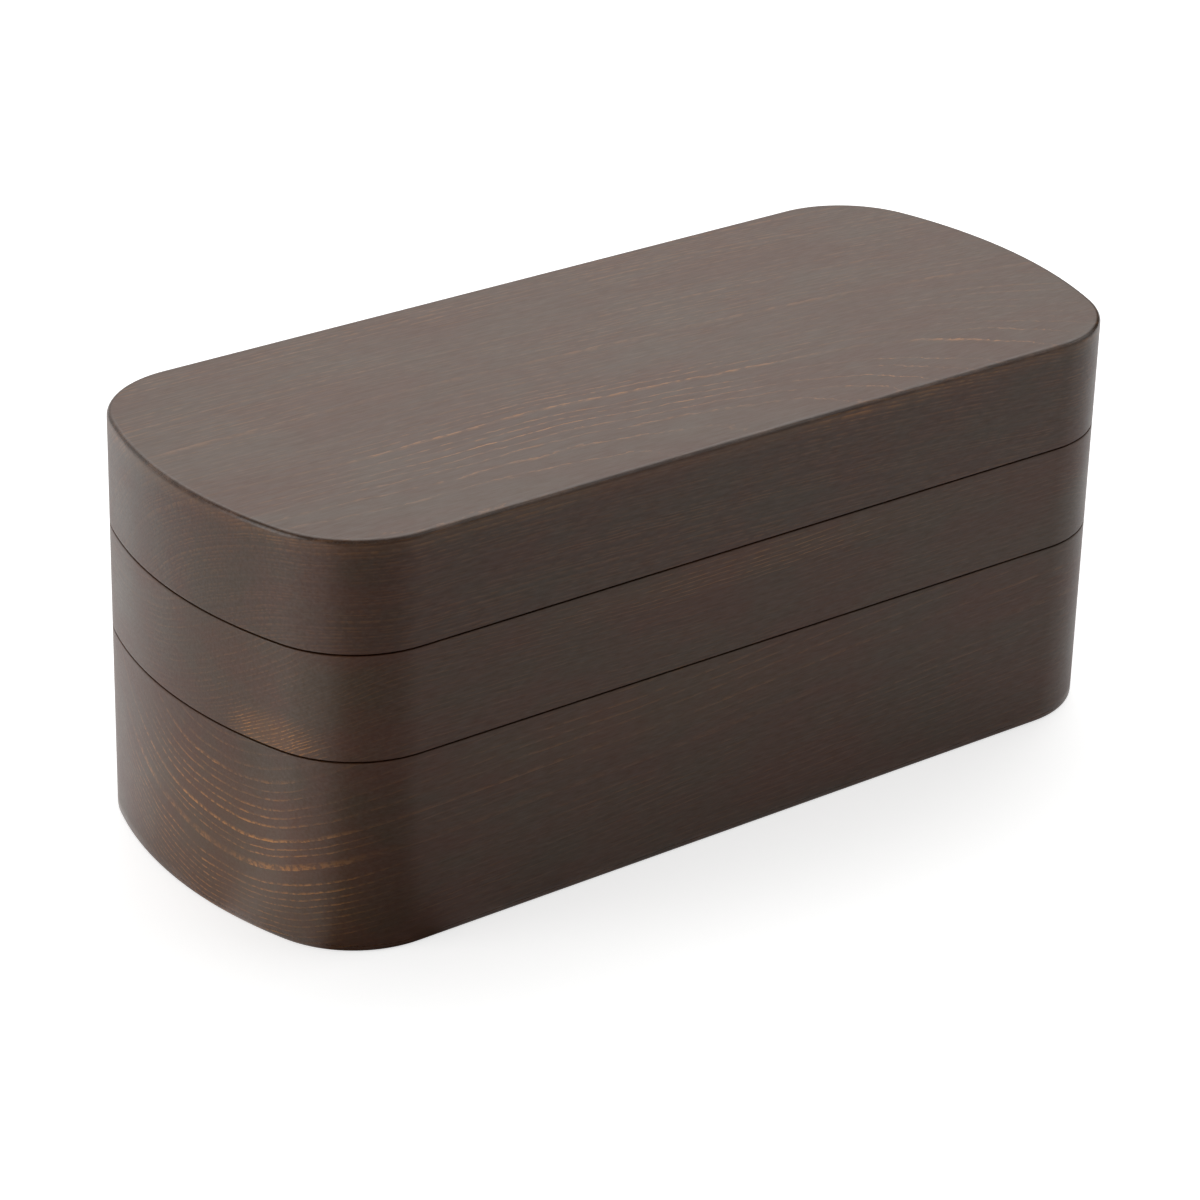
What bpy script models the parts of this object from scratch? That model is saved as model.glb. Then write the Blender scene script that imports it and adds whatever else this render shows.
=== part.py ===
"""Two-tier wooden lunch box, each section hollowed out of one solid block of wood.

The lower tier, the upper tier and the lid stack on raised lips. A soft inner lid closes the upper
tier under the wooden one, and each tier holds a loose wooden divider. Metres, +Z up. The origin is
the centre of the underside, and +X runs along the box.
"""

import math

import bmesh
import bpy
from mathutils import Matrix

MM = 0.001

# Plan of the box: straight long sides, bowed ends and a round corner between them
LENGTH = 205.0 * MM
WIDTH = 87.7 * MM
END_BOW = 11.1 * MM
CORNER_RADIUS = 21.7 * MM

# Outside height of each section's wall, without its lip
LOWER_HEIGHT = 39.75 * MM
UPPER_HEIGHT = 21.5 * MM
LID_HEIGHT = 22.55 * MM

# Wood that is left where a section is hollowed
WALL = 7.5 * MM
LOWER_FLOOR = 6.0 * MM
UPPER_FLOOR = 4.5 * MM
LID_TOP = 5.0 * MM
COVE_RADIUS = 5.0 * MM

# Raised lip that carries the section above, and the room round it
LIP_THICKNESS = 3.3 * MM
LIP_HEIGHT = 3.5 * MM
LIP_CLEARANCE = 0.3 * MM
SEAT_GAP = 0.3 * MM

# Rounded edges of the wood
TOP_ROUND = 1.1 * MM
FOOT_ROUND = 1.0 * MM
ARRIS = 0.35 * MM
LIP_EASE = 0.6 * MM

# Soft inner lid: a flange on the lip, a plug just inside it and a grip in the middle
INNER_SKIN = 1.2 * MM
PLUG_DEPTH = 2.0 * MM
GRIP_LENGTH = 24.0 * MM
GRIP_THICKNESS = 2.4 * MM
GRIP_HEIGHT = 7.0 * MM
GRIP_ROUND = 5.0 * MM
GRIP_EASE = 0.5 * MM

# Loose dividers: thin boards across the tiers, whose tops lie a drop below the lip
DIVIDER_THICKNESS = 4.0 * MM
DIVIDER_GAP = 0.3 * MM
DIVIDER_DROP = 4.5 * MM
DIVIDER_EASE = 0.6 * MM
UPPER_DIVIDER_X = -22.0 * MM
LOWER_DIVIDER_X = 28.0 * MM

# Facets of the round stretches
END_STEPS = 4
CORNER_STEPS = 9
TOP_STEPS = 4
FOOT_STEPS = 3
COVE_STEPS = 4
GRIP_STEPS = 5

# Limits for the mesh work: points that are one, faces that are flat, edges that stay sharp
SAME_POINT = 0.001 * MM
FLAT_ANGLE = math.radians(1)
SHARP_ANGLE = math.radians(40)

# Places that follow from the sizes above
LIP_INSET = WALL - LIP_THICKNESS
REBATE_INSET = LIP_INSET - LIP_CLEARANCE
PLUG_INSET = WALL + LIP_CLEARANCE
UPPER_FLOOR_Z = LIP_HEIGHT + UPPER_FLOOR
REBATE_DEPTH = LIP_HEIGHT + INNER_SKIN + SEAT_GAP

# The frame of an upright outline: its first axis runs across the box and its second one up
ACROSS = Matrix(((0, 0, 1, 0), (1, 0, 0, 0), (0, 1, 0, 0), (0, 0, 0, 1)))


def new_collection(name):
    """A new collection in the scene."""
    collection = bpy.data.collections.new(name)
    bpy.context.scene.collection.children.link(collection)
    return collection


def finish(name, colour, roughness):
    """A plain Principled BSDF material of one linear colour."""
    material = bpy.data.materials.new(name)
    material.use_nodes = True
    shader = material.node_tree.nodes["Principled BSDF"]
    shader.inputs["Base Color"].default_value = (*colour, 1.0)
    shader.inputs["Roughness"].default_value = roughness
    shader.inputs["Metallic"].default_value = 0.0
    return material


def arc(centre_x, centre_y, radius, start, end, steps):
    """Points along an arc from one angle to another, both ends included."""
    angles = [start + (end - start) * i / steps for i in range(steps + 1)]
    return [(centre_x + radius * math.cos(a), centre_y + radius * math.sin(a)) for a in angles]


def plan_outline(inset):
    """The plan moved in by inset, anticlockwise from the middle of the +X end."""
    half_width = WIDTH / 2
    end_radius = (half_width**2 + END_BOW**2) / (2 * END_BOW)
    end_x = LENGTH / 2 - end_radius
    corner_y = half_width - CORNER_RADIUS
    corner_x = end_x + math.sqrt((end_radius - CORNER_RADIUS) ** 2 - corner_y**2)
    turn = math.atan2(corner_y, corner_x - end_x)
    quarter = arc(end_x, 0, end_radius - inset, 0, turn, END_STEPS)[:-1]
    quarter += arc(corner_x, corner_y, CORNER_RADIUS - inset, turn, math.pi / 2, CORNER_STEPS)
    half = quarter + [(-x, y) for x, y in reversed(quarter)]
    return half + [(x, -y) for x, y in reversed(half[1:-1])]


def board(name, points, thickness, place):
    """A mesh of one flat outline and an even thickness, laid at a place given as a matrix."""
    curve = bpy.data.curves.new(name, "CURVE")
    curve.dimensions = "2D"
    curve.fill_mode = "BOTH"
    curve.extrude = thickness / 2
    spline = curve.splines.new("POLY")
    spline.points.add(len(points) - 1)
    for point, (x, y) in zip(spline.points, points):
        point.co = (x, y, 0, 1)
    spline.use_cyclic_u = True
    guide = bpy.data.objects.new(name, curve)
    bpy.context.scene.collection.objects.link(guide)
    depsgraph = bpy.context.evaluated_depsgraph_get()
    mesh = bpy.data.meshes.new_from_object(guide.evaluated_get(depsgraph))
    bpy.data.objects.remove(guide)
    bpy.data.curves.remove(curve)
    mesh.name = name
    mesh.transform(place)
    bm = bmesh.new()
    bm.from_mesh(mesh)
    bmesh.ops.remove_doubles(bm, verts=bm.verts, dist=SAME_POINT)
    bmesh.ops.dissolve_limit(bm, angle_limit=FLAT_ANGLE, verts=bm.verts, edges=bm.edges)
    bm.to_mesh(mesh)
    bm.free()
    return mesh


def round_edges(mesh, chosen, radius, steps):
    """Rounds the edges that a test chooses."""
    bm = bmesh.new()
    bm.from_mesh(mesh)
    edges = [edge for edge in bm.edges if chosen(edge)]
    bmesh.ops.bevel(bm, geom=edges, offset=radius, segments=steps, profile=0.5, affect="EDGES")
    bm.to_mesh(mesh)
    bm.free()


def slab(name, inset, bottom, top, rims=()):
    """A mesh of the plan moved in by inset, from bottom to top.

    Each rim is the height of an end of the slab, the radius of its edge and the steps of that round.
    """
    mesh = board(name, plan_outline(inset), top - bottom, Matrix.Translation((0, 0, (bottom + top) / 2)))
    for height, radius, steps in rims:
        round_edges(
            mesh,
            lambda edge: all(abs(vert.co.z - height) < SAME_POINT for vert in edge.verts),
            radius,
            steps,
        )
    return mesh


def add_object(name, mesh, collection, parent=None, location=(0, 0, 0)):
    """An object of a mesh, shaded smooth between its sharp edges, at a place under its parent."""
    mesh.shade_smooth()
    mesh.set_sharp_from_angle(angle=SHARP_ANGLE)
    obj = bpy.data.objects.new(name, mesh)
    collection.objects.link(obj)
    obj.parent = parent
    obj.location = location
    return obj


def combine(target, mesh, operation):
    """Adds a mesh to a piece, or cuts it away, by a Boolean with a hidden object in the piece's frame."""
    tool = add_object(mesh.name, mesh, bpy.data.collections["bento_box_tools"], target)
    tool.hide_render = True
    tool.display_type = "WIRE"
    modifier = target.modifiers.new(mesh.name, "BOOLEAN")
    modifier.operation = operation
    modifier.solver = "EXACT"
    modifier.object = tool


def add_lip(piece, shoulder):
    """Raises the lip on a tier's shoulder. Its root reaches down into the wall."""
    crown = shoulder + LIP_HEIGHT
    rims = [(crown, LIP_EASE, 1)]
    combine(piece, slab(piece.name + "_lip", LIP_INSET, shoulder - LIP_HEIGHT, crown, rims), "UNION")


def cut_cavity(piece, floor, shoulder):
    """Hollows a tier from above, with a cove round its floor."""
    clear = shoulder + 2 * LIP_HEIGHT
    rims = [(floor, COVE_RADIUS, COVE_STEPS)]
    combine(piece, slab(piece.name + "_cavity", WALL, floor, clear, rims), "DIFFERENCE")


def lower_tier(collection, wood):
    """The deep tier, which stands on its flat underside."""
    rims = [(0, FOOT_ROUND, FOOT_STEPS), (LOWER_HEIGHT, ARRIS, 1)]
    piece = add_object("lower_tier", slab("lower_tier", 0, 0, LOWER_HEIGHT, rims), collection)
    piece.data.materials.append(wood)
    add_lip(piece, LOWER_HEIGHT)
    cut_cavity(piece, LOWER_FLOOR, LOWER_HEIGHT)
    return piece


def upper_tier(collection, wood, below):
    """The shallow tier, recessed underneath for the lip that it sits on."""
    rims = [(0, ARRIS, 1), (UPPER_HEIGHT, ARRIS, 1)]
    block = slab("upper_tier", 0, 0, UPPER_HEIGHT, rims)
    piece = add_object("upper_tier", block, collection, below, (0, 0, LOWER_HEIGHT + SEAT_GAP))
    piece.data.materials.append(wood)
    combine(piece, slab("upper_tier_recess", REBATE_INSET, -LIP_HEIGHT, LIP_HEIGHT), "DIFFERENCE")
    add_lip(piece, UPPER_HEIGHT)
    cut_cavity(piece, UPPER_FLOOR_Z, UPPER_HEIGHT)
    return piece


def inner_lid(collection, plastic, below):
    """The soft inner lid: a shallow tray with a flange that lies on the lip, and a grip to pinch."""
    flange = slab("inner_lid", LIP_INSET, 0, INNER_SKIN)
    seat = UPPER_HEIGHT + LIP_HEIGHT + SEAT_GAP
    piece = add_object("inner_lid", flange, collection, below, (0, 0, seat))
    piece.data.materials.append(plastic)
    panel_top = INNER_SKIN - PLUG_DEPTH
    half_skin = INNER_SKIN / 2
    combine(piece, slab("inner_lid_plug", PLUG_INSET, -PLUG_DEPTH, half_skin), "UNION")
    pan = slab("inner_lid_pan", PLUG_INSET + INNER_SKIN, panel_top, INNER_SKIN + PLUG_DEPTH)
    combine(piece, pan, "DIFFERENCE")
    grip_top = panel_top + GRIP_HEIGHT
    side = GRIP_LENGTH / 2
    right = arc(side - GRIP_ROUND, grip_top - GRIP_ROUND, GRIP_ROUND, 0, math.pi / 2, GRIP_STEPS)
    right = [(side, panel_top - half_skin)] + right
    outline = right + [(-y, z) for y, z in reversed(right)]
    grip = board("inner_lid_grip", outline, GRIP_THICKNESS, ACROSS)
    round_edges(grip, lambda edge: edge.calc_face_angle() > SHARP_ANGLE, GRIP_EASE, 1)
    combine(piece, grip, "UNION")
    return piece


def lid(collection, wood, below):
    """The deep wooden lid, hollow, with a rebate that slips over the inner lid and the lip."""
    rims = [(0, ARRIS, 1), (LID_HEIGHT, TOP_ROUND, TOP_STEPS)]
    block = slab("lid", 0, 0, LID_HEIGHT, rims)
    piece = add_object("lid", block, collection, below, (0, 0, -LIP_HEIGHT))
    piece.data.materials.append(wood)
    combine(piece, slab("lid_rebate", REBATE_INSET, -REBATE_DEPTH, REBATE_DEPTH), "DIFFERENCE")
    ceiling = LID_HEIGHT - LID_TOP
    rims = [(ceiling, COVE_RADIUS, COVE_STEPS)]
    combine(piece, slab("lid_hollow", WALL, -REBATE_DEPTH, ceiling, rims), "DIFFERENCE")
    return piece


def divider(name, collection, wood, tier, centre_x, floor, shoulder):
    """A loose board across a tier. Its lower corners follow the cove."""
    half_width = WIDTH / 2 - WALL - DIVIDER_GAP
    height = shoulder + LIP_HEIGHT - DIVIDER_DROP - floor - DIVIDER_GAP
    radius = COVE_RADIUS - DIVIDER_GAP
    right = arc(half_width - radius, radius, radius, -math.pi / 2, 0, COVE_STEPS)
    right.append((half_width, height))
    outline = right + [(-y, z) for y, z in reversed(right)]
    mesh = board(name, outline, DIVIDER_THICKNESS, ACROSS)
    round_edges(mesh, lambda edge: edge.calc_face_angle() > SHARP_ANGLE, DIVIDER_EASE, 1)
    piece = add_object(name, mesh, collection, tier, (centre_x, 0, floor + DIVIDER_GAP))
    piece.data.materials.append(wood)
    return piece


def build():
    """The whole box, closed, each piece under the one that carries it."""
    for obj in list(bpy.data.objects):
        bpy.data.objects.remove(obj)
    parts = new_collection("bento_box")
    new_collection("bento_box_tools")
    base = lower_tier(parts, finish("lower_tier_wood", (0.062, 0.041, 0.031), 0.42))
    middle = upper_tier(parts, finish("upper_tier_wood", (0.058, 0.038, 0.028), 0.42), base)
    seal = inner_lid(parts, finish("inner_lid_plastic", (0.78, 0.76, 0.70), 0.45), middle)
    lid(parts, finish("lid_wood", (0.070, 0.047, 0.036), 0.40), seal)
    wood = finish("lower_divider_wood", (0.075, 0.050, 0.037), 0.45)
    divider("lower_divider", parts, wood, base, LOWER_DIVIDER_X, LOWER_FLOOR, LOWER_HEIGHT)
    wood = finish("upper_divider_wood", (0.072, 0.048, 0.036), 0.45)
    divider("upper_divider", parts, wood, middle, UPPER_DIVIDER_X, UPPER_FLOOR_Z, UPPER_HEIGHT)


build()
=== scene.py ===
"""Two-tier wooden lunch box in dark wiped stain, closed, as in the photograph.

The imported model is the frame. Each of its pieces is replaced by a finer one in the same place: the
lower tier, the upper tier, the wooden lid, the soft inner lid and two loose dividers.
"""

import math

import bmesh
import bpy
from mathutils import Matrix, Vector


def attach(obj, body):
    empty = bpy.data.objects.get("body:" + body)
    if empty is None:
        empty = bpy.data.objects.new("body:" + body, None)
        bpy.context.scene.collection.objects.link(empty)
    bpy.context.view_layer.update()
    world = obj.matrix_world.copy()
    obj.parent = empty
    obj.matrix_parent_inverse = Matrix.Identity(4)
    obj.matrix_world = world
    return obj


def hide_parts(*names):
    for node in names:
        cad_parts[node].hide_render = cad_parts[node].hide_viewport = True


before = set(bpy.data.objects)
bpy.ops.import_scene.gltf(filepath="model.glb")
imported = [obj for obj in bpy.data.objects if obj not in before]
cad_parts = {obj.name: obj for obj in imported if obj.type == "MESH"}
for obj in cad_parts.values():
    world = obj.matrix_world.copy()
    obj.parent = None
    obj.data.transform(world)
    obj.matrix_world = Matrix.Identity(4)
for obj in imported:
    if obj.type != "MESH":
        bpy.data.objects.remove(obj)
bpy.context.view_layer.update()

MM = 0.001

# Plan of the box: straight long sides, bowed ends and a round corner between them
LENGTH = 205.0 * MM
WIDTH = 87.7 * MM
END_BOW = 11.1 * MM
CORNER_RADIUS = 21.7 * MM

# Thicknesses: the gap between two pieces, the lips' height, the two floors, the lid's top and the soft
# sheet
SEAM = 0.3 * MM
LIP_HEIGHT = 3.5 * MM
LOWER_FLOOR = 6.0 * MM
UPPER_FLOOR_THICKNESS = 4.5 * MM
LID_THICKNESS = 5.0 * MM
SKIN = 1.2 * MM

# Heights from the table. The upper tier's floor lies over the recess for the lower lip
LOWER_SHOULDER = 39.75 * MM
UPPER_FOOT = LOWER_SHOULDER + SEAM
UPPER_FLOOR = UPPER_FOOT + LIP_HEIGHT + UPPER_FLOOR_THICKNESS
UPPER_SHOULDER = 61.55 * MM
LID_FOOT = UPPER_SHOULDER + SEAM
LID_CROWN = 84.4 * MM
LID_CEILING = LID_CROWN - LID_THICKNESS
SHEET_SEAT = UPPER_SHOULDER + LIP_HEIGHT + SEAM

# Across the wall, from the outer face: hollow, lip and rebate, and the lid's rebate over the soft sheet
WALL = 7.5 * MM
LIP_INSET = 4.2 * MM
REBATE_INSET = LIP_INSET - SEAM
LID_REBATE = SHEET_SEAT + SKIN + SEAM - LID_FOOT

# Rounds of the edges, each with the number of its facets, and how high the foot's own band is
TOP_ROUND, TOP_FACETS = 1.1 * MM, 12
FOOT_ROUND, FOOT_FACETS = 0.9 * MM, 6
ARRIS, ARRIS_FACETS = 0.22 * MM, 4
LIP_EASE, LIP_FACETS = 0.6 * MM, 5
LIP_ROOT, ROOT_FACETS = 0.25 * MM, 3
COVE_RADIUS, COVE_FACETS = 5.0 * MM, 12
FOOT_BAND = 3.0 * MM

# Soft inner lid
PLUG_INSET = WALL + SEAM
PLUG_DEPTH = 2.0 * MM
SKIN_ROUND, SKIN_FACETS = 0.45 * MM, 4
GRIP_LENGTH = 24.0 * MM
GRIP_THICKNESS = 2.4 * MM
GRIP_TOP = 71.55 * MM
GRIP_ROUND, GRIP_FACETS = 5.0 * MM, 12
GRIP_EASE, GRIP_EASE_FACETS = 0.7 * MM, 4

# Loose dividers, which end below the lips
DIVIDER_THICKNESS = 4.0 * MM
DIVIDER_DROP = 4.5 * MM
DIVIDER_EASE, DIVIDER_FACETS = 0.7 * MM, 4
LOWER_DIVIDER_X = 28.0 * MM
UPPER_DIVIDER_X = -22.0 * MM

# Wear: how far it reaches from a lip's edge, from the lid's rim and from a line above the foot, and how
# strong it is on that line. On the lid's rim the same reach and share also give its painted shade
LIP_WEAR, LIP_SHARE = 0.9 * MM, 0.6
RIM_REACH_WEAR_AND_SHADE, RIM_SHARE_WEAR_AND_SHADE = 0.9 * MM, 0.8
FOOT_WEAR, FOOT_SHARE = 1.2 * MM, 0.9
FOOT_WEAR_HEIGHT = 1.5 * MM

# The middle of the lid's top round lies this share of its radius in from the corner, both ways
TOP_MIDDLE = 0.29

# Facets of the plan, and the narrow flat that is kept beside each round so that the faces shade flat
END_STEPS = 12
CORNER_STEPS = 24
SIDE_STEPS = 12
SUPPORT = 0.35 * MM

# How near two points lie to count as one place, and how near to be joined. Edges up to the first angle
# shade smooth, and past the second they are the corners of a board
SAME_PLACE = 0.02 * MM
WELD = 0.001 * MM
SMOOTH_ANGLE = math.radians(45)
BOARD_ANGLE = math.radians(60)

# The plan's arcs, worked out from its sizes
HALF_WIDTH = WIDTH / 2
END_RADIUS = (HALF_WIDTH**2 + END_BOW**2) / (2 * END_BOW)
END_X = LENGTH / 2 - END_RADIUS
CORNER_Y = HALF_WIDTH - CORNER_RADIUS
CORNER_X = END_X + math.sqrt((END_RADIUS - CORNER_RADIUS) ** 2 - CORNER_Y**2)
END_TURN = math.atan2(CORNER_Y, CORNER_X - END_X)


# Modelling

def start_piece(name, add_primitive, **size_and_place):
    """Adds a primitive with nothing else selected, names it and opens it for editing."""
    bpy.ops.object.select_all(action="DESELECT")
    add_primitive(**size_and_place)
    piece = bpy.context.object
    piece.name = name
    piece.data.name = name
    bpy.ops.object.transform_apply(location=True, rotation=True, scale=True)
    bpy.ops.object.mode_set(mode="EDIT")
    return piece


def finish_piece(piece):
    """Closes a piece: faces outward, smooth between its sharp edges."""
    bpy.ops.mesh.select_all(action="SELECT")
    bpy.ops.mesh.remove_doubles(threshold=WELD)
    bpy.ops.mesh.normals_make_consistent(inside=False)
    bpy.ops.object.mode_set(mode="OBJECT")
    bpy.ops.object.shade_smooth_by_angle(angle=SMOOTH_ANGLE)
    return piece


def pick(piece, kind, chosen):
    """Selects the edges or faces that a test chooses, and nothing else."""
    bpy.ops.mesh.select_mode(type=kind)
    bpy.ops.mesh.select_all(action="DESELECT")
    mesh = bmesh.from_edit_mesh(piece.data)
    for item in {"EDGE": mesh.edges, "FACE": mesh.faces}[kind]:
        if chosen(item):
            item.select_set(True)
    mesh.select_flush_mode()
    bmesh.update_edit_mesh(piece.data)


def plan_depth(place):
    """How far inside the outline of the plan a place lies, seen from above."""
    x, y = abs(place.x), abs(place.y)
    if math.atan2(y, x - END_X) < END_TURN:
        return END_RADIUS - math.hypot(x - END_X, y)
    if x > CORNER_X:
        return CORNER_RADIUS - math.hypot(x - CORNER_X, y - CORNER_Y)
    return HALF_WIDTH - y


def plan_face(name, inset, height):
    """A flat face of the plan, moved in by inset: a point is spun and drawn round the outline."""
    start = (LENGTH / 2 - inset, 0, height)
    piece = start_piece(name, bpy.ops.mesh.primitive_plane_add, size=1 * MM, location=start)
    bpy.ops.mesh.select_mode(type="VERT")
    bpy.ops.mesh.select_all(action="SELECT")
    bpy.ops.mesh.merge(type="CENTER")
    corner_turn = math.pi / 2 - END_TURN
    for side in (1, -1):
        end, corner = (side * END_X, 0, 0), (side * CORNER_X, side * CORNER_Y, 0)
        bpy.ops.mesh.spin(steps=END_STEPS, angle=-END_TURN, center=end, axis=(0, 0, 1))
        bpy.ops.mesh.spin(steps=CORNER_STEPS, angle=-corner_turn, center=corner, axis=(0, 0, 1))
        for _ in range(SIDE_STEPS):
            step = (-2 * side * CORNER_X / SIDE_STEPS, 0, 0)
            bpy.ops.mesh.extrude_region_move(TRANSFORM_OT_translate={"value": step})
        end, corner = (-side * END_X, 0, 0), (-side * CORNER_X, side * CORNER_Y, 0)
        bpy.ops.mesh.spin(steps=CORNER_STEPS, angle=-corner_turn, center=corner, axis=(0, 0, 1))
        bpy.ops.mesh.spin(steps=END_STEPS, angle=-END_TURN, center=end, axis=(0, 0, 1))
    bpy.ops.mesh.select_all(action="SELECT")
    bpy.ops.mesh.remove_doubles(threshold=WELD)
    bpy.ops.mesh.edge_face_add()
    bpy.ops.mesh.select_mode(type="FACE")
    return piece


def rise(height, near=0.0, far=0.0):
    """Extrudes the picked face up or down, with a loop beside the round at either end."""
    way = math.copysign(1, height)
    first, last = way * (near + SUPPORT), way * (far + SUPPORT)
    for part in (first, height - first - last, last):
        bpy.ops.mesh.extrude_region_move(TRANSFORM_OT_translate={"value": (0, 0, part)})


def step_in(width, near=0.0, far=None):
    """Insets the picked face, with a loop beside the round at either end. No far end: one loop."""
    loops = [near + SUPPORT]
    if far is not None:
        loops += [width - near - far - 2 * SUPPORT, far + SUPPORT]
    for part in loops:
        bpy.ops.mesh.inset(thickness=part, depth=0)


def pick_cap(piece, height):
    """Selects the one many-sided face that closes the piece at a height."""

    def is_cap(face):
        return len(face.verts) > 4 and abs(face.verts[0].co.z - height) < SAME_PLACE

    pick(piece, "FACE", is_cap)


def round_picked(radius, steps):
    """Rounds the picked edges."""
    bpy.ops.mesh.bevel(offset=radius, segments=steps, profile=0.5, affect="EDGES", clamp_overlap=False)


def round_rim(piece, inset, height, radius, steps):
    """Rounds the edge that runs round the plan at an inset and a height."""

    def on_rim(place):
        return abs(place.z - height) < SAME_PLACE and abs(plan_depth(place) - inset) < SAME_PLACE

    pick(piece, "EDGE", lambda edge: all(on_rim(vert.co) for vert in edge.verts))
    round_picked(radius, steps)


def note_rims(piece, kind, rims):
    """Stores how much each point is rubbed, or darkened as painted shade: most along some lines, none
    away from them.

    Each line is an inset and a height, at which it runs round the plan, its reach and its share.
    """
    noted = piece.data.attributes.new(kind, "FLOAT", "POINT")
    for vert, value in zip(piece.data.vertices, noted.data):
        for inset, height, reach, share in rims:
            away = math.hypot(plan_depth(vert.co) - inset, vert.co.z - height)
            value.value = max(value.value, share * max(0.0, 1 - away / reach))


def tier(name, foot, shoulder, floor, foot_round, recess):
    """A tier: solid block, lip raised on its shoulder, hollow with a coved floor, recess below."""
    piece = plan_face(name, 0, foot)
    rise(FOOT_BAND, foot_round)
    rise(shoulder - foot - FOOT_BAND, 0, ARRIS)
    step_in(LIP_INSET, ARRIS, LIP_ROOT)
    rise(LIP_HEIGHT, LIP_ROOT, LIP_EASE)
    step_in(WALL - LIP_INSET, LIP_EASE, LIP_EASE)
    rise(floor - shoulder - LIP_HEIGHT, LIP_EASE, COVE_RADIUS)
    step_in(0, COVE_RADIUS)
    pick_cap(piece, foot)
    if recess:
        step_in(REBATE_INSET, foot_round, 0)
        rise(recess)
    step_in(0, 0 if recess else foot_round)
    crown = shoulder + LIP_HEIGHT
    round_rim(piece, 0, foot, foot_round, FOOT_FACETS)
    round_rim(piece, 0, shoulder, ARRIS, ARRIS_FACETS)
    round_rim(piece, LIP_INSET, shoulder, LIP_ROOT, ROOT_FACETS)
    round_rim(piece, LIP_INSET, crown, LIP_EASE, LIP_FACETS)
    round_rim(piece, WALL, crown, LIP_EASE, LIP_FACETS)
    round_rim(piece, WALL, floor, COVE_RADIUS, COVE_FACETS)
    finish_piece(piece)
    rims = [(LIP_INSET, crown, LIP_WEAR, LIP_SHARE), (WALL, crown, LIP_WEAR, LIP_SHARE)]
    if not recess:
        rims.append((0, foot + FOOT_WEAR_HEIGHT, FOOT_WEAR, FOOT_SHARE))
    note_rims(piece, "rub", rims)
    return piece


def wooden_lid(name):
    """The wooden lid: solid block with a round top edge, rebate for the lip, coved hollow."""
    piece = plan_face(name, 0, LID_FOOT)
    rise(LID_CROWN - LID_FOOT, ARRIS, TOP_ROUND)
    step_in(0, TOP_ROUND)
    pick_cap(piece, LID_FOOT)
    step_in(REBATE_INSET, ARRIS, 0)
    rise(LID_REBATE)
    step_in(WALL - REBATE_INSET, 0, LIP_ROOT)
    rise(LID_CEILING - LID_FOOT - LID_REBATE, LIP_ROOT, COVE_RADIUS)
    step_in(0, COVE_RADIUS)
    round_rim(piece, 0, LID_CROWN, TOP_ROUND, TOP_FACETS)
    round_rim(piece, 0, LID_FOOT, ARRIS, ARRIS_FACETS)
    round_rim(piece, WALL, LID_FOOT + LID_REBATE, LIP_ROOT, ROOT_FACETS)
    round_rim(piece, WALL, LID_CEILING, COVE_RADIUS, COVE_FACETS)
    finish_piece(piece)
    middle = TOP_MIDDLE * TOP_ROUND
    # The rim's line holds both its rubbed wear and its painted shade, stored as stain: a dark band where
    # the round would mirror the dim room
    for kind in ("rub", "stain"):
        note_rims(piece, kind, [(middle, LID_CROWN - middle, RIM_REACH_WEAR_AND_SHADE, RIM_SHARE_WEAR_AND_SHADE)])
    return piece


def sharp(edge):
    """Whether two faces meet at an edge like the sides of a board."""
    return len(edge.link_faces) == 2 and edge.calc_face_angle() > BOARD_ANGLE


def cross_edge(height):
    """A test for the edges of a board that lie at a height and run along X, through the board."""

    def is_chosen(edge):
        ends = [vert.co for vert in edge.verts]
        level = all(abs(end.z - height) < SAME_PLACE for end in ends)
        return level and abs(ends[0].y - ends[1].y) < SAME_PLACE

    return is_chosen


def grip_tab(name):
    """The grip to pinch: an upright tab with round shoulders and eased edges, rooted in the pan."""
    root = SHEET_SEAT - PLUG_DEPTH + SKIN / 2
    size = (GRIP_THICKNESS, GRIP_LENGTH, GRIP_TOP - root)
    place = (0, 0, (root + GRIP_TOP) / 2)
    piece = start_piece(name, bpy.ops.mesh.primitive_cube_add, size=1, location=place, scale=size)

    def above_root(edge):
        return any(vert.co.z > root + SAME_PLACE for vert in edge.verts)

    pick(piece, "EDGE", cross_edge(GRIP_TOP))
    round_picked(GRIP_ROUND, GRIP_FACETS)
    pick(piece, "EDGE", lambda edge: sharp(edge) and above_root(edge))
    round_picked(GRIP_EASE, GRIP_EASE_FACETS)
    bpy.ops.object.mode_set(mode="OBJECT")
    return piece


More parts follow.
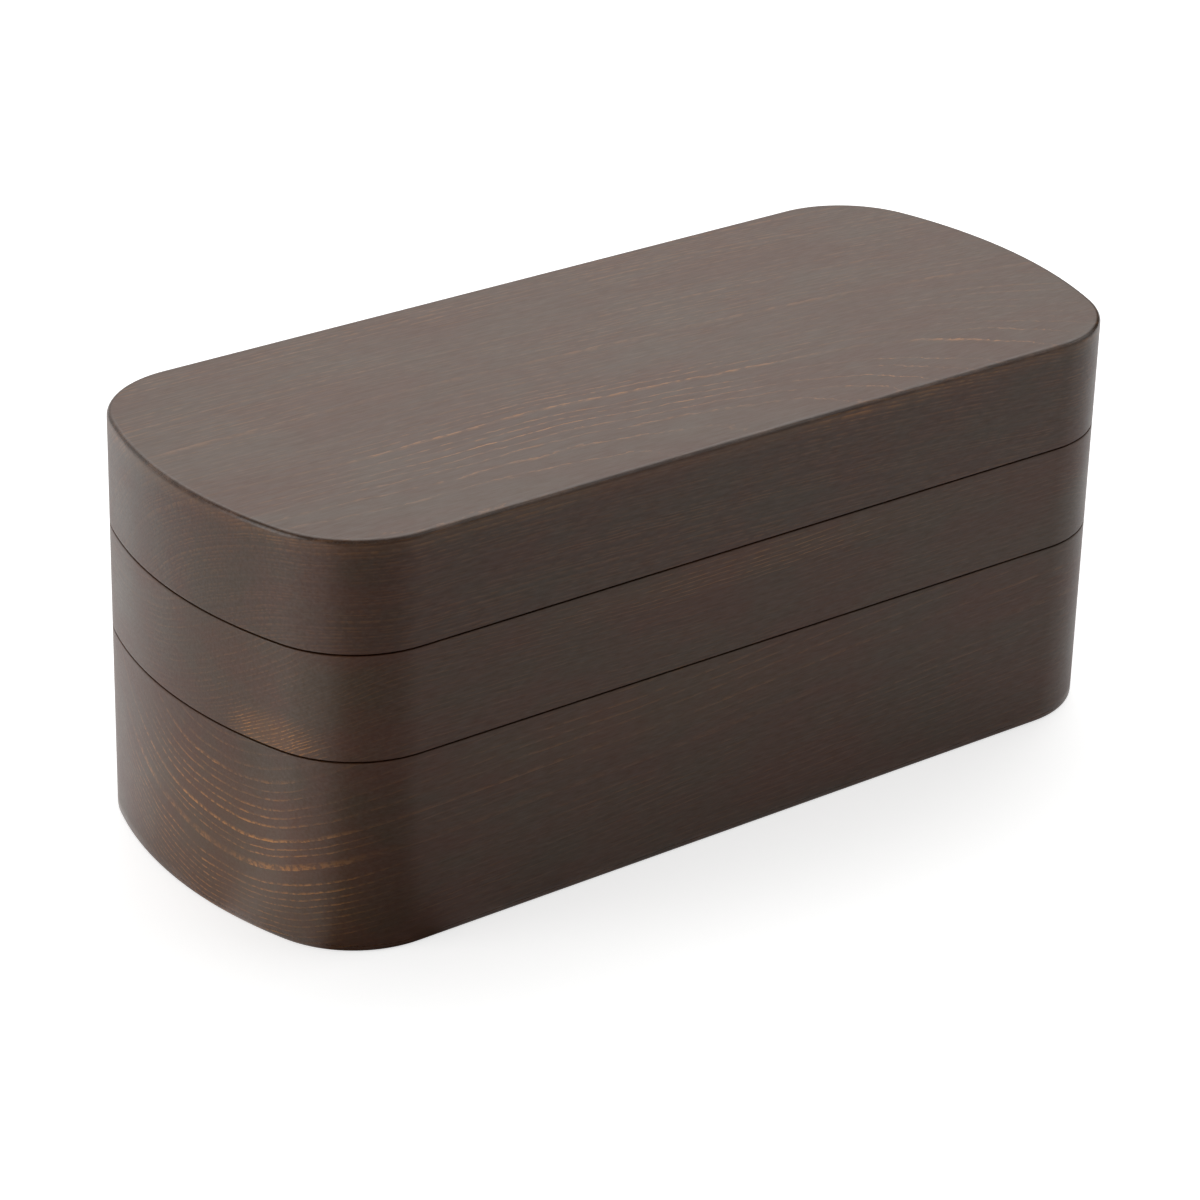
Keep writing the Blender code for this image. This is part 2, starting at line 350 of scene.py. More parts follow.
def soft_sheet(name):
    """The inner lid: a flange on the lip, a plug inside it, a shallow pan and its grip."""
    tab = grip_tab(name + "_tab")
    piece = plan_face(name, LIP_INSET, SHEET_SEAT)
    top = SHEET_SEAT + SKIN
    pan = PLUG_INSET + SKIN

    # The flange is too thin for loops between its two rounds
    bpy.ops.mesh.extrude_region_move(TRANSFORM_OT_translate={"value": (0, 0, SKIN)})
    step_in(pan - LIP_INSET, SKIN_ROUND, SKIN_ROUND)
    rise(-PLUG_DEPTH, SKIN_ROUND, SKIN_ROUND)
    step_in(0, SKIN_ROUND)
    pick_cap(piece, SHEET_SEAT)
    step_in(PLUG_INSET - LIP_INSET, SKIN_ROUND, 0)
    rise(-PLUG_DEPTH, 0, SKIN_ROUND)
    step_in(0, SKIN_ROUND)
    rims = [(LIP_INSET, top), (LIP_INSET, SHEET_SEAT), (pan, top), (pan, top - PLUG_DEPTH)]
    rims += [(PLUG_INSET, SHEET_SEAT - PLUG_DEPTH)]
    for inset, height in rims:
        round_rim(piece, inset, height, SKIN_ROUND, SKIN_FACETS)
    bpy.ops.mesh.select_all(action="SELECT")
    bpy.ops.mesh.normals_make_consistent(inside=False)
    bpy.ops.object.mode_set(mode="OBJECT")
    union = piece.modifiers.new("tab", "BOOLEAN")
    union.operation = "UNION"
    union.solver = "EXACT"
    union.object = tab
    bpy.ops.object.modifier_apply(modifier=union.name)
    bpy.data.objects.remove(tab)
    bpy.ops.object.mode_set(mode="EDIT")
    return finish_piece(piece)


def divider(name, centre_x, floor, shoulder):
    """A loose board across a tier. Its lower corners follow the cove and its edges are eased."""
    bottom = floor + SEAM
    top = shoulder + LIP_HEIGHT - DIVIDER_DROP
    half_width = HALF_WIDTH - WALL - SEAM
    size = (DIVIDER_THICKNESS, 2 * half_width, top - bottom)
    place = (centre_x, 0, (bottom + top) / 2)
    piece = start_piece(name, bpy.ops.mesh.primitive_cube_add, size=1, location=place, scale=size)
    pick(piece, "EDGE", cross_edge(bottom))
    round_picked(COVE_RADIUS - SEAM, COVE_FACETS)
    pick(piece, "EDGE", sharp)
    round_picked(DIVIDER_EASE, DIVIDER_FACETS)
    pick(piece, "FACE", lambda face: len(face.verts) > 4)
    bpy.ops.mesh.inset(thickness=SUPPORT, use_individual=True)
    finish_piece(piece)
    worn = piece.data.attributes.new("rub", "FLOAT", "POINT")
    for vert, value in zip(piece.data.vertices, worn.data):
        value.value = LIP_SHARE if vert.co.z > top - DIVIDER_EASE else 0.0
    return piece


lower_tier = tier("lower_tier_wood", 0, LOWER_SHOULDER, LOWER_FLOOR, FOOT_ROUND, 0)
upper_tier = tier("upper_tier_wood", UPPER_FOOT, UPPER_SHOULDER, UPPER_FLOOR, ARRIS, LIP_HEIGHT)
lid = wooden_lid("lid_wood")
inner_lid = soft_sheet("inner_lid_sheet")
lower_divider = divider("lower_divider_board", LOWER_DIVIDER_X, LOWER_FLOOR, LOWER_SHOULDER)
upper_divider = divider("upper_divider_board", UPPER_DIVIDER_X, UPPER_FLOOR, UPPER_SHOULDER)


# Materials: colours of the stained wood and of the milky plastic

STAIN_GREY = "#452f1a"
STAIN_RED = "#4d2b17"
LATE_WOOD = "#b87a3c"
# Bare wood of rubbed edges, paled towards white as a painted glint on the rims
PALE_WEAR_AND_GLINT = "#94705a"
MILK_WARM = "#e9e6dc"
MILK_COOL = "#dcdcd4"

# Shares of the late wood's orange: everywhere, where the stain was wiped off, and in the weakest year
SHOWN_ALWAYS = 0.14
SHOWN_WIPED = 1.1
WEAK_YEAR = 0.5

# Years: over how many of them good ones turn to bad, how far that moves them, how many more of them
# there are past the crowd radius, and the least share of a year that is late wood
SPELL = 3.5
SPELL_REACH = 2.2
CROWDING = 0.8
THIN_LATE = 0.01

# How the grain wanders: the size of each wave along and across the trunk in millimetres, and its reach
WANDER = (((90, 30, 30), 3.2), ((13, 6, 6), 0.5), ((2.0, 0.7, 0.7), 0.18))

# Where the trunk's line starts to bend, and the length over which a sweep is given, in millimetres
SWEEP_START = -60
SWEEP_SPAN = 100

# A wiped spot is at its fullest within this share of its reach
SPOT_CORE = 0.25

# What is uneven in the wood: the size of its waves in millimetres, their detail and roughness, the two
# levels of the noise between which it changes, and the values that it has there
FADE = ((30, 11, 11), 2.0, 0.5, 0.36, 0.58, 0.35, 1.0)
CRUMB = ((2.6, 0.9, 0.9), 2.0, 0.5, 0.42, 0.56, 0.2, 1.0)
FIBRE = ((22, 0.33, 0.33), 2.0, 0.6, 0.3, 0.7, 0.0, 1.0)
BAND = ((40, 0.3, 9), 2.0, 0.6, 0.3, 0.7, 0.0, 1.0)
CLOUD = ((30, 15, 13), 6.0, 0.65, 0.38, 0.62, 0.0, 1.0)
PATCH = ((9, 5, 3), 4.0, 0.65, 0.48, 0.64, 0.0, 1.0)
PORE = ((3.5, 0.6, 0.6), 3.0, 0.7, 0.3, 0.7, 0.40, 0.60)

# Tone of the darkest and the palest fibres, how much of the colour the painted shade on the lid's rim
# takes away, and how far a rubbed edge turns to bare wood, paled as a painted glint
TONES = (0.86, 1.14)
RIM_PAINTED_SHADE = 0.7
RUB_AND_GLINT_SHARE = 0.35

# Lacquer: roughness on open and on closed fibres, what a cloud of stain adds and what rubbing takes away
DULL, SHINY = 0.42, 0.36
CLOUD_DULLS = 0.04
RUB_POLISHES = 0.22

# Relief: how deep the fibres lie, the share of that by which late wood stands out, and the plastic's
FIBRE_RELIEF = 0.02 * MM
LATE_STANDS_OUT = 0.5
PLASTIC_RELIEF = 0.04 * MM

# Milky plastic: its clouds and its grit, per millimetre, and its roughness between the grit and on it
MILK_CLOUDS = 0.06
MILK_GRIT = 1.6
WAXY, MATT = 0.40, 0.52


def colour(code):
    """A linear colour from an sRGB hex code."""
    linear = []
    for start in (1, 3, 5):
        part = int(code[start : start + 2], 16) / 255
        linear.append(part / 12.92 if part <= 0.04045 else ((part + 0.055) / 1.055) ** 2.4)
    return linear + [1.0]


def add(tree, kind, inputs=None, **settings):
    """Adds a shader node with its settings, and feeds its inputs from links or plain values."""
    node = tree.nodes.new(kind)
    for setting, value in settings.items():
        setattr(node, setting, value)
    for place, value in (inputs or {}).items():
        if isinstance(value, bpy.types.NodeSocket):
            tree.links.new(value, node.inputs[place])
        else:
            node.inputs[place].default_value = value
    return node


def new_material(name):
    """An empty node material with its Principled shader."""
    material = bpy.data.materials.new(name)
    material.use_nodes = True
    return material, material.node_tree, material.node_tree.nodes["Principled BSDF"]


def uneven(tree, place, waves, detail, roughness, start, end, low, high):
    """A value that goes from low to high where the noise of stretched waves goes from start to end."""
    scaled = add(tree, "ShaderNodeVectorMath", {0: place, 1: waves}, operation="DIVIDE").outputs[0]
    noise = {"Vector": scaled, "Scale": 1.0, "Detail": detail, "Roughness": roughness}
    noise = add(tree, "ShaderNodeTexNoise", noise).outputs[0]
    return add(tree, "ShaderNodeMapRange", {0: noise, 1: start, 2: end, 3: low, 4: high}).outputs[0]


def block_places(tree, along):
    """Places in millimetres and facings, turned so that the grain always runs along X."""
    texture = add(tree, "ShaderNodeTexCoord").outputs
    mm = {0: texture["Object"], 3: 1 / MM}
    mm = add(tree, "ShaderNodeVectorMath", mm, operation="SCALE").outputs[0]
    facing = texture["Normal"]
    if along == "Y":
        turn = (0, 0, math.radians(90))
        mm = add(tree, "ShaderNodeMapping", {"Vector": mm, "Rotation": turn}).outputs[0]
        facing = {"Vector": facing, "Rotation": turn}
        facing = add(tree, "ShaderNodeMapping", facing, vector_type="VECTOR").outputs[0]
    return mm, facing


def trunk_places(tree, mm, pith, turn, sweep):
    """Places as they lay in the tree: X up the trunk, Y and Z out from its pith."""

    # The tree's slow wander, the waver of a hand's breadth of grain and the jags at the fibres
    grain = mm
    for waves, reach in WANDER:
        scaled = add(tree, "ShaderNodeVectorMath", {0: mm, 1: waves}, operation="DIVIDE").outputs[0]
        wander = add(tree, "ShaderNodeTexNoise", {"Vector": scaled, "Scale": 1.0, "Detail": 1.0})
        off = {0: wander.outputs["Color"], 1: (0.5, 0.5, 0.5)}
        off = add(tree, "ShaderNodeVectorMath", off, operation="SUBTRACT").outputs[0]
        off = add(tree, "ShaderNodeVectorMath", {0: off, 3: reach}, operation="SCALE").outputs[0]
        grain = add(tree, "ShaderNodeVectorMath", {0: grain, 1: off}, operation="ADD").outputs[0]

    # The pith's line bends down towards the block's right end, and leans through it
    past = add(tree, "ShaderNodeSeparateXYZ", {0: mm}).outputs["X"]
    past = add(tree, "ShaderNodeMath", {0: past, 1: -SWEEP_START}, operation="ADD").outputs[0]
    past = add(tree, "ShaderNodeMath", {0: past, 1: 0.0}, operation="MAXIMUM").outputs[0]
    past = add(tree, "ShaderNodeMath", {0: past, 1: past}, operation="MULTIPLY").outputs[0]
    bend = {0: (0, 0, sweep / SWEEP_SPAN**2), 3: past}
    bend = add(tree, "ShaderNodeVectorMath", bend, operation="SCALE").outputs[0]
    grain = add(tree, "ShaderNodeVectorMath", {0: grain, 1: bend}, operation="ADD").outputs[0]
    centred = {0: grain, 1: (0, *pith)}
    centred = add(tree, "ShaderNodeVectorMath", centred, operation="SUBTRACT").outputs[0]
    return add(tree, "ShaderNodeMapping", {"Vector": centred, "Rotation": turn}).outputs[0]


def squareness(tree, facing, turn, flat):
    """How squarely the surface cuts the rings: 1 on an end, little where a face runs along them."""
    outward = add(tree, "ShaderNodeVectorMath", {0: flat}, operation="NORMALIZE").outputs[0]
    facing = {"Vector": facing, "Rotation": turn}
    facing = add(tree, "ShaderNodeMapping", facing, vector_type="VECTOR").outputs[0]
    slope = {0: facing, 1: outward}
    slope = add(tree, "ShaderNodeVectorMath", slope, operation="CROSS_PRODUCT").outputs[0]
    return add(tree, "ShaderNodeVectorMath", {0: slope}, operation="LENGTH").outputs["Value"]


def late_lines(tree, radius, slope, ring, crowd, late):
    """The late wood at the end of each year, as lines of one width on the surface."""

    # Years: good and bad ones differ in width, and past the crowd radius they are little more than
    # half as wide
    spell = add(tree, "ShaderNodeMath", {0: radius, 1: SPELL * ring}, operation="DIVIDE").outputs[0]
    spell = {"W": spell, "Scale": 1.0, "Detail": 1.0}
    spell = add(tree, "ShaderNodeTexNoise", spell, noise_dimensions="1D").outputs[0]
    spell = add(tree, "ShaderNodeMath", {0: spell, 1: SPELL_REACH}, operation="MULTIPLY").outputs[0]
    years = {0: radius, 1: 1 / ring, 2: spell}
    years = add(tree, "ShaderNodeMath", years, operation="MULTIPLY_ADD").outputs[0]
    past = add(tree, "ShaderNodeMath", {0: radius, 1: crowd}, operation="SUBTRACT").outputs[0]
    past = add(tree, "ShaderNodeMath", {0: past, 1: 0.0}, operation="MAXIMUM").outputs[0]
    years = {0: past, 1: CROWDING / ring, 2: years}
    years = add(tree, "ShaderNodeMath", years, operation="MULTIPLY_ADD").outputs[0]
    year = add(tree, "ShaderNodeMath", {0: years}, operation="FLOOR").outputs[0]
    gone = add(tree, "ShaderNodeMath", {0: years}, operation="FRACT").outputs[0]

    # A line comes in softly and ends sharply, and is stronger in some years than in others
    width = {0: slope, 1: late / ring, 2: THIN_LATE}
    width = add(tree, "ShaderNodeMath", width, operation="MULTIPLY_ADD").outputs[0]
    left = add(tree, "ShaderNodeMath", {0: 1.0, 1: gone}, operation="SUBTRACT").outputs[0]
    line = {0: left, 1: width, 2: 0.0}
    line = add(tree, "ShaderNodeMapRange", line, interpolation_type="SMOOTHSTEP").outputs[0]
    chance = add(tree, "ShaderNodeTexWhiteNoise", {"W": year}, noise_dimensions="1D").outputs["Value"]
    strength = add(tree, "ShaderNodeMapRange", {0: chance, 3: WEAK_YEAR, 4: 1.0}).outputs[0]
    return add(tree, "ShaderNodeMath", {0: line, 1: strength}, operation="MULTIPLY").outputs[0]


def wiped_spots(tree, mm, spots):
    """How strongly the lines show in the spots that were wiped harder, and how much lighter it is."""
    wiped, glow = 0.0, 0.0
    for centre, reach, amount, lighter in spots:
        near = add(tree, "ShaderNodeVectorMath", {0: mm, 1: centre}, operation="SUBTRACT").outputs[0]
        near = add(tree, "ShaderNodeVectorMath", {0: near, 1: reach}, operation="DIVIDE").outputs[0]
        near = add(tree, "ShaderNodeVectorMath", {0: near}, operation="LENGTH").outputs["Value"]
        near = {0: near, 1: 1.0, 2: SPOT_CORE}
        near = add(tree, "ShaderNodeMapRange", near, interpolation_type="SMOOTHSTEP").outputs[0]
        this = add(tree, "ShaderNodeMath", {0: near, 1: amount}, operation="MULTIPLY").outputs[0]
        wiped = add(tree, "ShaderNodeMath", {0: this, 1: wiped}, operation="MAXIMUM").outputs[0]
        this = add(tree, "ShaderNodeMath", {0: near, 1: lighter}, operation="MULTIPLY").outputs[0]
        glow = add(tree, "ShaderNodeMath", {0: this, 1: glow}, operation="MAXIMUM").outputs[0]
    return wiped, glow


def year_bands(tree, trunk, radius):
    """The fine bands within a year, 0.3 mm wide, which follow the rings."""
    parts = add(tree, "ShaderNodeSeparateXYZ", {0: trunk}).outputs
    angle = {0: parts["Y"], 1: parts["Z"]}
    angle = add(tree, "ShaderNodeMath", angle, operation="ARCTAN2").outputs[0]
    around = add(tree, "ShaderNodeMath", {0: angle, 1: radius}, operation="MULTIPLY").outputs[0]
    polar = add(tree, "ShaderNodeCombineXYZ", {0: parts["X"], 1: radius, 2: around}).outputs[0]
    return uneven(tree, polar, *BAND)


def satin_lacquer(tree, shader, mm, fibre, cloud, rub):
    """Satin lacquer, a little duller in the open fibres and polished on rubbed edges.

    It has sunk into the pores, so it shines a little more and less from fibre to fibre.
    """
    tree.links.new(uneven(tree, mm, *PORE), shader.inputs["Specular IOR Level"])
    dull = add(tree, "ShaderNodeMapRange", {0: fibre, 3: DULL, 4: SHINY}).outputs[0]
    dull = {0: cloud, 1: CLOUD_DULLS, 2: dull}
    dull = add(tree, "ShaderNodeMath", dull, operation="MULTIPLY_ADD").outputs[0]
    dull = {0: rub, 1: -RUB_POLISHES, 2: dull}
    dull = add(tree, "ShaderNodeMath", dull, operation="MULTIPLY_ADD").outputs[0]
    tree.links.new(dull, shader.inputs["Roughness"])
    shader.inputs["IOR"].default_value = 1.5


def stained_wood(name, pith, lean, ring, crowd, late, depth, sweep=0.0, spots=(), along="X"):
    """Solid softwood, cut and sanded, dark stain wiped off, satin lacquer.

    The rings lie round a pith that the block was sawn from, so they make long lines on the top and
    sides and arcs on the ends. The thin late wood takes less stain and shows orange, most of all in
    the spots where the stain was wiped hardest. Lengths in millimetres.

    pith: where the middle of the tree lies at x = 0, as y and z. lean: how far it drifts per
    millimetre of length, in y and z. ring: width of a year. crowd: radius from which the years are
    narrower. late: width of the late wood where the surface cuts it. depth: share of the colour that
    the stain leaves. sweep: how far the pith has bent down SWEEP_SPAN past SWEEP_START. spots: centre
    and reach of each wiped spot, how strongly its lines show and how much lighter it is.
    """
    material, tree, shader = new_material(name)
    mm, facing = block_places(tree, along)
    turn = (0, math.atan(lean[1]), -math.atan(lean[0]))
    trunk = trunk_places(tree, mm, pith, turn, sweep)
    flat = add(tree, "ShaderNodeVectorMath", {0: trunk, 1: (0, 1, 1)}, operation="MULTIPLY").outputs[0]
    radius = add(tree, "ShaderNodeVectorMath", {0: flat}, operation="LENGTH").outputs["Value"]
    slope = squareness(tree, facing, turn, flat)

    # Lines fade in and out over a few centimetres, and break up at the single fibres
    line = late_lines(tree, radius, slope, ring, crowd, late)
    for waves in (FADE, CRUMB):
        share = uneven(tree, mm, *waves)
        line = add(tree, "ShaderNodeMath", {0: line, 1: share}, operation="MULTIPLY").outputs[0]
    wiped, glow = wiped_spots(tree, mm, spots)
    shown = {0: wiped, 1: SHOWN_WIPED, 2: SHOWN_ALWAYS}
    shown = add(tree, "ShaderNodeMath", shown, operation="MULTIPLY_ADD").outputs[0]
    line = add(tree, "ShaderNodeMath", {0: line, 1: shown}, operation="MULTIPLY").outputs[0]

    # Stain lies thicker here, thinner there: greyer and redder clouds of one to three centimetres,
    # and fibres and bands that are a little darker and paler
    fibre = uneven(tree, trunk, *FIBRE)
    cloud = uneven(tree, mm, *CLOUD)
    base = {0: cloud, 6: colour(STAIN_GREY), 7: colour(STAIN_RED)}
    base = add(tree, "ShaderNodeMix", base, data_type="RGBA").outputs[2]
    tone = {0: fibre, 1: year_bands(tree, trunk, radius)}
    tone = add(tree, "ShaderNodeMath", tone, operation="ADD").outputs[0]
    tone = {0: tone, 1: 0.0, 2: 2.0, 3: TONES[0], 4: TONES[1]}
    tone = add(tree, "ShaderNodeMapRange", tone).outputs[0]
    tone = add(tree, "ShaderNodeMath", {0: tone, 1: depth}, operation="MULTIPLY").outputs[0]
    base = add(tree, "ShaderNodeVectorMath", {0: base, 3: tone}, operation="SCALE").outputs[0]
    for share in (glow, line):
        base = {0: share, 6: base, 7: colour(LATE_WOOD)}
        base = add(tree, "ShaderNodeMix", base, data_type="RGBA").outputs[2]

    # Painted shade: the lid's rim is darkened in colour along the band where its round would mirror the
    # dim room.
    # Edges are rubbed through to lighter wood here and there, paled towards white as a painted glint
    dark = add(tree, "ShaderNodeAttribute", attribute_name="stain").outputs["Fac"]
    dark = {0: dark, 1: -RIM_PAINTED_SHADE, 2: 1.0}
    dark = add(tree, "ShaderNodeMath", dark, operation="MULTIPLY_ADD").outputs[0]
    base = add(tree, "ShaderNodeVectorMath", {0: base, 3: dark}, operation="SCALE").outputs[0]
    rub = add(tree, "ShaderNodeAttribute", attribute_name="rub").outputs["Fac"]
    rubbed = {0: rub, 1: uneven(tree, mm, *PATCH)}
    rubbed = add(tree, "ShaderNodeMath", rubbed, operation="MULTIPLY").outputs[0]
    rubbed = add(tree, "ShaderNodeMath", {0: rubbed, 1: RUB_AND_GLINT_SHARE}, operation="MULTIPLY").outputs[0]
    base = {0: rubbed, 6: base, 7: colour(PALE_WEAR_AND_GLINT)}
    base = add(tree, "ShaderNodeMix", base, data_type="RGBA").outputs[2]
    tree.links.new(base, shader.inputs["Base Color"])

    satin_lacquer(tree, shader, mm, fibre, cloud, rub)
    height = {0: line, 1: LATE_STANDS_OUT, 2: fibre}
    height = add(tree, "ShaderNodeMath", height, operation="MULTIPLY_ADD").outputs[0]
    bump = add(tree, "ShaderNodeBump", {"Height": height, "Strength": 0.25, "Distance": FIBRE_RELIEF})
    tree.links.new(bump.outputs[0], shader.inputs["Normal"])
    return material


def milky_plastic(name):
    """Low-density polyethylene, moulded: milky, waxy and slightly see-through at the edges."""
    material, tree, shader = new_material(name)
    place = add(tree, "ShaderNodeTexCoord").outputs["Object"]
    mm = add(tree, "ShaderNodeVectorMath", {0: place, 3: 1 / MM}, operation="SCALE").outputs[0]
    cloud = {"Vector": mm, "Scale": MILK_CLOUDS, "Detail": 3.0}
    cloud = add(tree, "ShaderNodeTexNoise", cloud).outputs[0]
    grit = {"Vector": mm, "Scale": MILK_GRIT, "Detail": 2.0}
    grit = add(tree, "ShaderNodeTexNoise", grit).outputs[0]
    base = {0: cloud, 6: colour(MILK_WARM), 7: colour(MILK_COOL)}
    base = add(tree, "ShaderNodeMix", base, data_type="RGBA").outputs[2]
    tree.links.new(base, shader.inputs["Base Color"])
    dull = {0: grit, 1: 0.3, 2: 0.7, 3: WAXY, 4: MATT}
    dull = add(tree, "ShaderNodeMapRange", dull).outputs[0]
    tree.links.new(dull, shader.inputs["Roughness"])
    bump = add(tree, "ShaderNodeBump", {"Height": grit, "Strength": 0.2, "Distance": PLASTIC_RELIEF})
    tree.links.new(bump.outputs[0], shader.inputs["Normal"])
    shader.inputs["IOR"].default_value = 1.51
    shader.inputs["Subsurface Weight"].default_value = 0.35
    shader.inputs["Subsurface Radius"].default_value = (1.0, 0.9, 0.75)
    shader.inputs["Subsurface Scale"].default_value = 1.5 * MM
    return material


# Each section was sawn from its own tree, and both dividers from one board

lower_wood = stained_wood(
    "softwood_wiped_stain_lower_tier",
    pith=(-16.5, 75.5), lean=(0.0, 0.04), ring=2.1, crowd=63, late=0.62, depth=1.0,
    spots=(((-99, -12, 15), (26, 42, 27), 1.2, 0.06), ((-20, -44, 33), (70, 12, 9), 0.1, 0.02)),
)
upper_wood = stained_wood(
    "softwood_wiped_stain_upper_tier",
    pith=(25, 130), lean=(0.0, -0.02), ring=1.25, crowd=95, late=0.5, depth=0.97,
    spots=(((-96, -26, 42), (14, 13, 7), 1.5, 0.12), ((0, -44, 58), (60, 12, 5), 0.3, 0.03)),
)
lid_wood = stained_wood(
    "softwood_wiped_stain_lid",
    pith=(-46, -2.0), lean=(0.0, -0.004), ring=0.8, crowd=200, late=0.62, depth=0.83, sweep=3.2,
    spots=(
        ((-28, -22, 84), (75, 24, 4), 0.78, 0.07),
        ((42, -37, 84), (62, 16, 4), 0.78, 0.07),
        ((0, 0, 84), (300, 150, 4), 0.13, 0.07),
    ),
)
board_wood = stained_wood(
    "softwood_wiped_stain_divider",
    pith=(20, -30), lean=(0.02, 0.01), ring=1.6, crowd=60, late=0.8, depth=1.0, along="Y",
)
lower_tier.data.materials.append(lower_wood)
upper_tier.data.materials.append(upper_wood)
lid.data.materials.append(lid_wood)
lower_divider.data.materials.append(board_wood)
upper_divider.data.materials.append(board_wood)
inner_lid.data.materials.append(milky_plastic("polyethylene_moulded_milky"))


# Each piece stands for its node and rides on its body; the slot beside it is listed but not read here

rows = (
    (lower_tier, "lower_tier", "lower_tier_wood"),
    (upper_tier, "upper_tier", "upper_tier_wood"),
    (lid, "lid", "lid_wood"),
    (inner_lid, "inner_lid", "inner_lid_plastic"),
    (lower_divider, "lower_divider", "divider_wood"),
    (upper_divider, "upper_divider", "divider_wood"),
)
for piece, node, slot in rows:
    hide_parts(node)
    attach(piece, node)


# Camera at the photograph's angle, fitted to the box's outline and seams

def aim_camera():
    """The camera of the photograph: heading, tilt, roll, distance and focal length."""
    heading, tilt, roll = math.radians(-37.690), math.radians(26.330), math.radians(1.591)
    distance, across, up_by, height = 842.62 * MM, -2.878 * MM, -12.048 * MM, 45.0 * MM
    image, focal, sensor = 1200, 4239.42, 36.0
    level = Vector((math.cos(heading), math.sin(heading), 0))
    ahead = Vector((-math.sin(heading), math.cos(heading), 0))
    away = math.cos(tilt) * ahead - Vector((0, 0, math.sin(tilt)))
    upward = level.cross(away)
    right = math.cos(roll) * level + math.sin(roll) * upward
    up = math.cos(roll) * upward - math.sin(roll) * level
    place = Vector((0, 0, height)) - distance * away + across * right + up_by * up
    data = bpy.data.cameras.new("photo_camera")
    data.sensor_width = sensor
    data.lens = focal / image * sensor
    data.clip_start = 0.01
    camera = bpy.data.objects.new("photo_camera", data)
    bpy.context.scene.collection.objects.link(camera)
    turned = Matrix((right, up, -away)).transposed()
    camera.matrix_world = Matrix.Translation(place) @ turned.to_4x4()
    bpy.context.scene.camera = camera


aim_camera()


# Studio: pale floor, and soft lamps and bright walls behind, to the left and to the right of the box.
# The camera's side stays dim. Each patch of light has its azimuth, elevation, the radii in degrees at
# which it starts to fade and ends, and its brightness.

LIGHTS = (
    (52, 48, 12, 38, 2.3),
    (-8, 48, 12, 38, 0.62),
    (112, 48, 12, 38, 0.41),
    (97, 12, 12, 38, 0.72),
    (142, 12, 12, 38, 0.32),
    (165, 26, 8, 24, 2.4),
    (115, 5, 4, 13, 0.58),
    (155, 5, 4, 13, 2.2),
    (170, 5, 4, 13, 2.0),
    (200, 3, 2, 7, 7.0),
    (330, 22, 15, 45, 0.6),
)

# The room on the camera's side, which only the lacquer mirrors
DIM_ROOM = (232, 40, 15, 75, 0.45)

# What the lacquer mirrors of the floor, in the same terms, round the box's near corner: much to the
# left of it, nothing straight before it and a little to its right
FLOOR_SHINE = (
    (90, 0, 15, 40, 0.35),
    (130, 0, 30, 60, 0.55),
    (190, 0, 16, 36, 0.88),
    (335, 0, 38, 58, 0.34),
    (15, 0, 5, 25, 0.4),
)
NEAR_CORNER = (-CORNER_X, -CORNER_Y, 0)

# Paper: its white, the grey that the lacquer mirrors, how brightly the camera sees it, and the sheet's
# size in metres
PAPER_WHITE = "#e6e6e5"
PAPER_MIRRORED = "#c4c4c4"
FLOOR_WHITE = 0.68
FLOOR_SIZE = 6


def seen_rays(tree):
    """1 for camera rays and for rays through clear material, 0 for all others."""
    path = add(tree, "ShaderNodeLightPath").outputs
    either = {0: path["Is Camera Ray"], 1: path["Is Transmission Ray"]}
    return add(tree, "ShaderNodeMath", either, operation="MAXIMUM").outputs[0]


def soft_patch(tree, toward, azimuth, elevation, inner, outer, brightness):
    """The brightness that a soft round patch of light adds along a direction."""
    turned, raised = math.radians(azimuth), math.radians(elevation)
    level = math.cos(raised)
    middle = (math.cos(turned) * level, math.sin(turned) * level, math.sin(raised))
    near = add(tree, "ShaderNodeVectorMath", {0: toward, 1: middle}, operation="DOT_PRODUCT")
    dark, full = math.cos(math.radians(outer)), math.cos(math.radians(inner))
    limits = {0: near.outputs["Value"], 1: dark, 2: full, 3: 0.0, 4: brightness}
    return add(tree, "ShaderNodeMapRange", limits, interpolation_type="SMOOTHSTEP").outputs[0]


def sum_patches(tree, toward, patches):
    """The brightness of several soft patches together."""
    total = 0.0
    for patch in patches:
        both = {0: soft_patch(tree, toward, *patch), 1: total}
        total = add(tree, "ShaderNodeMath", both, operation="ADD").outputs[0]
    return total


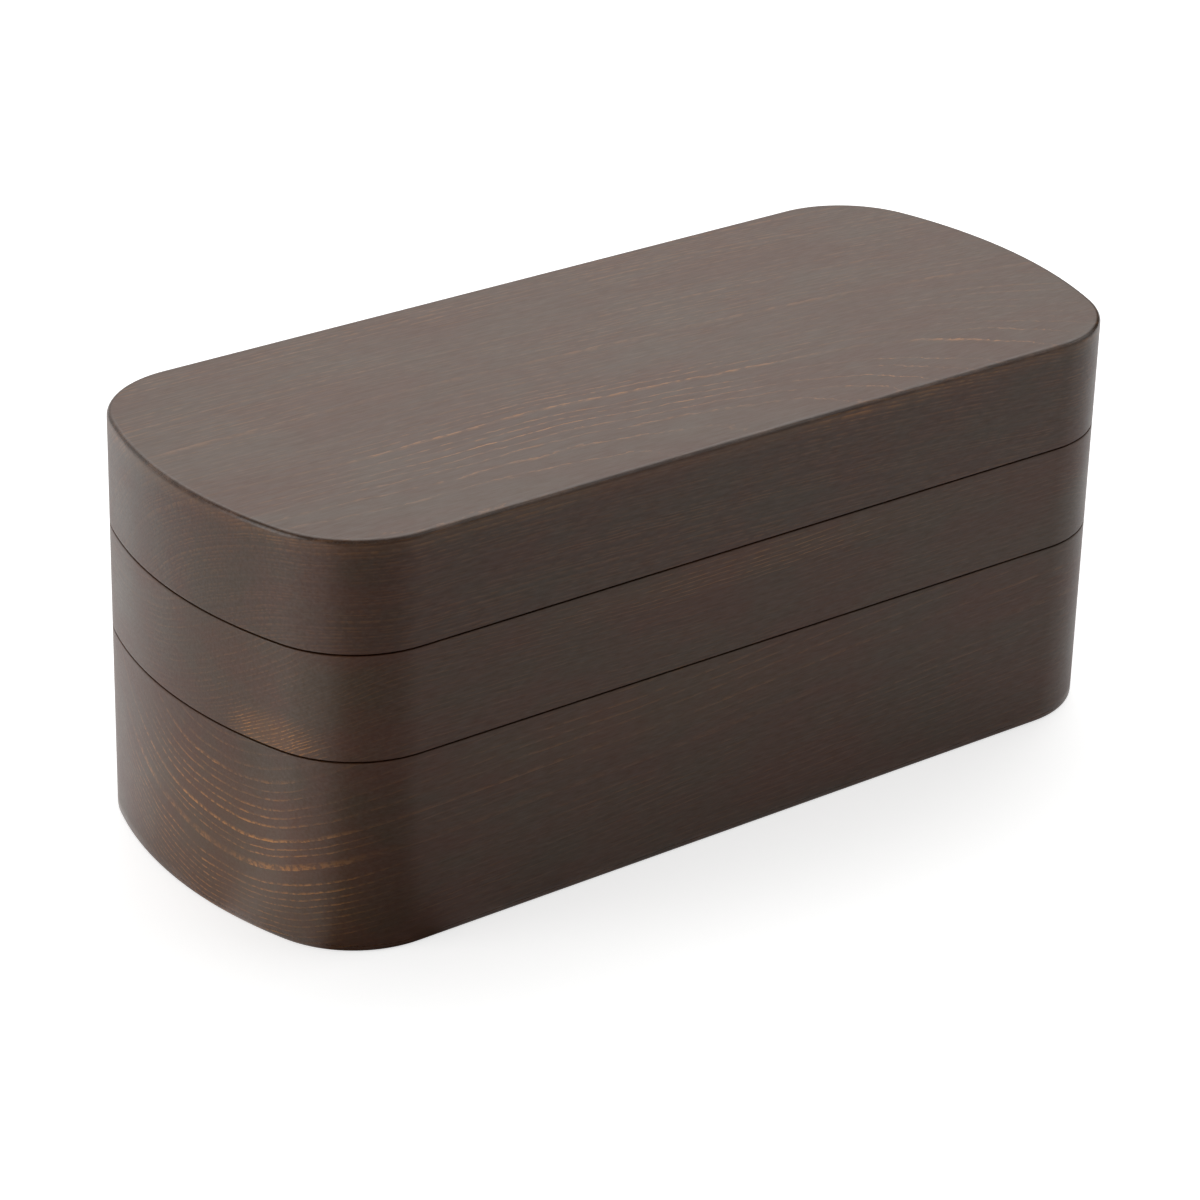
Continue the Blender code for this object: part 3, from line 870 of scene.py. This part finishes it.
def light_air():
    """The room: white for the camera, lit by its patches, and dimly mirrored on the camera's side."""
    world = bpy.data.worlds.new("studio_air")
    bpy.context.scene.world = world
    world.use_nodes = True
    air = world.node_tree
    backdrop = air.nodes["Background"]
    backdrop.inputs["Color"].default_value = (1, 1, 1, 1)
    toward = add(air, "ShaderNodeTexCoord").outputs["Generated"]
    light = sum_patches(air, toward, LIGHTS)
    glossy = add(air, "ShaderNodeLightPath").outputs["Is Glossy Ray"]
    dim = {0: soft_patch(air, toward, *DIM_ROOM), 1: glossy}
    dim = add(air, "ShaderNodeMath", dim, operation="MULTIPLY").outputs[0]
    light = add(air, "ShaderNodeMath", {0: light, 1: dim}, operation="ADD").outputs[0]
    level = add(air, "ShaderNodeMix", {0: seen_rays(air), 2: light, 3: 1.0}).outputs[0]
    air.links.new(level, backdrop.inputs["Strength"])


def matt_paper():
    """Matt white paper. In the lacquer it is greyer, but shines where the soft patches say."""
    paper, tree, shader = new_material("studio_paper_matt_white")
    shader.inputs["Roughness"].default_value = 0.9
    shader.inputs["Specular IOR Level"].default_value = 0.0
    glossy = add(tree, "ShaderNodeLightPath").outputs["Is Glossy Ray"]
    white = {0: glossy, 6: colour(PAPER_WHITE), 7: colour(PAPER_MIRRORED)}
    white = add(tree, "ShaderNodeMix", white, data_type="RGBA").outputs[2]
    tree.links.new(white, shader.inputs["Base Color"])
    place = add(tree, "ShaderNodeTexCoord").outputs["Object"]
    away = add(tree, "ShaderNodeVectorMath", {0: place, 1: NEAR_CORNER}, operation="SUBTRACT").outputs[0]
    away = add(tree, "ShaderNodeVectorMath", {0: away}, operation="NORMALIZE").outputs[0]
    shine = {0: glossy, 1: sum_patches(tree, away, FLOOR_SHINE)}
    shine = add(tree, "ShaderNodeMath", shine, operation="MULTIPLY").outputs[0]
    glow = {0: seen_rays(tree), 1: FLOOR_WHITE, 2: shine}
    glow = add(tree, "ShaderNodeMath", glow, operation="MULTIPLY_ADD").outputs[0]
    tree.links.new(glow, shader.inputs["Emission Strength"])
    shader.inputs["Emission Color"].default_value = (1, 1, 1, 1)
    return paper


light_air()
bpy.ops.object.select_all(action="DESELECT")
bpy.ops.mesh.primitive_plane_add(size=FLOOR_SIZE, location=(0, 0, 0))
floor = bpy.context.object
floor.name = "studio_floor"
floor.data.materials.append(matt_paper())

bpy.context.scene.view_settings.view_transform = "Standard"
